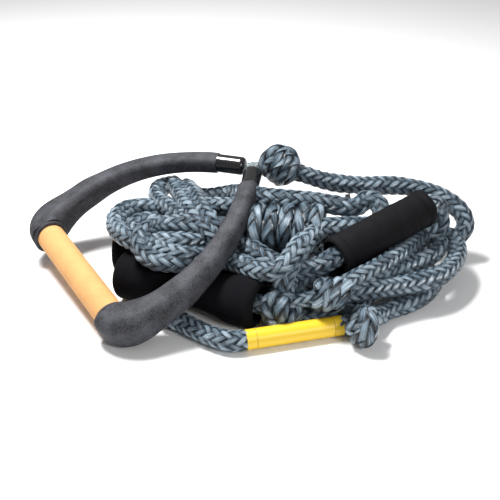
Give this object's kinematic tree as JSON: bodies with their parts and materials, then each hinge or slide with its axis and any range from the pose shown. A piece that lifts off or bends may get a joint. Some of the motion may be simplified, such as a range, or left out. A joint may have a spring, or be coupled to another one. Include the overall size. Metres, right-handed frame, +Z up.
{
  "type": "tow rope handle",
  "caption": "Water sports tow handle with foam arms and a round grip, and its knotted braided rope coiled with dog-bone floats and a padded sleeve.",
  "frame": {"origin": "on the floor under the middle of the handle's own box, without the rope and what is on it", "axes": "+Z up from the floor, +X along the coiled rope from the grip to the far end, +Y away from the side where the warning tube lies"},
  "size_m": [0.4714, 0.2404, 0.1189],
  "materials": {
    "rope": "braided polyethylene, satin filaments",
    "bridle": "thin braided rope",
    "arm_foam": "moulded EVA foam, matt",
    "grip_foam": "smooth tan EVA, matt",
    "bar": "drawn tube",
    "plug": "moulded",
    "cap": "shrunk tube, glossy",
    "float_foam": "closed-cell foam, matt",
    "sleeve_cover": "coated fabric, satin",
    "sleeve_core": "foam tube",
    "label": "shrunk vinyl tube",
    "tie_black": "nylon",
    "tie_pale": "nylon"
  },
  "bodies": {
    "rope": {"rope_hank": "rope", "rope_top_run": "rope", "rope_ring": "rope", "rope_leg_upper": "rope", "rope_leg_lower": "rope", "rope_front_run": "rope", "rope_floor_run": "rope", "rope_in_sleeve": "rope", "rope_in_float_front": "rope", "rope_in_float_rear": "rope", "rope_neck": "rope", "rope_in_label": "rope", "stopper_knot_front": "rope", "stopper_knot_rear": "rope", "grip_knot": "rope", "barrel_knot": "rope", "end_knot": "rope", "label_tube": "label", "label_end_bands": "label", "tie_strap": "tie_black", "tie_lock": "tie_pale"},
    "handle": {"bar_tube": "bar", "bar_end_plugs": "plug", "grip_sleeve": "grip_foam", "grip_end_collars": "arm_foam", "arm_far": "arm_foam", "arm_near": "arm_foam", "cap_far": "cap", "cap_near": "cap", "bridle_rope": "bridle", "throat_knot": "rope"},
    "front_float": {"float_front": "float_foam"},
    "rear_float": {"float_rear": "float_foam"},
    "sleeve": {"sleeve_cover": "sleeve_cover", "sleeve_core": "sleeve_core"}
  },
  "joints": [
    {"name": "handle_swing", "type": "hinge", "parent": "rope", "child": "handle", "pos_m": [0.1206, 0.0805, 0.096], "axis": [-0.5314, 0.8438, 0.075], "range_deg": [0, 95]},
    {"name": "front_float_spin", "type": "hinge", "parent": "rope", "child": "front_float", "pos_m": [0.0311, -0.0453, 0.0246], "axis": [0.9246, -0.3808, 0], "continuous": true},
    {"name": "rear_float_spin", "type": "hinge", "parent": "rope", "child": "rear_float", "pos_m": [0.02285, 0.0235, 0.0246], "axis": [0.9972, -0.0754, 0], "continuous": true},
    {"name": "sleeve_spin", "type": "hinge", "parent": "rope", "child": "sleeve", "pos_m": [0.2179, -0.00525, 0.065], "axis": [0.8139, 0.5554, 0.1706], "continuous": true}
  ]
}
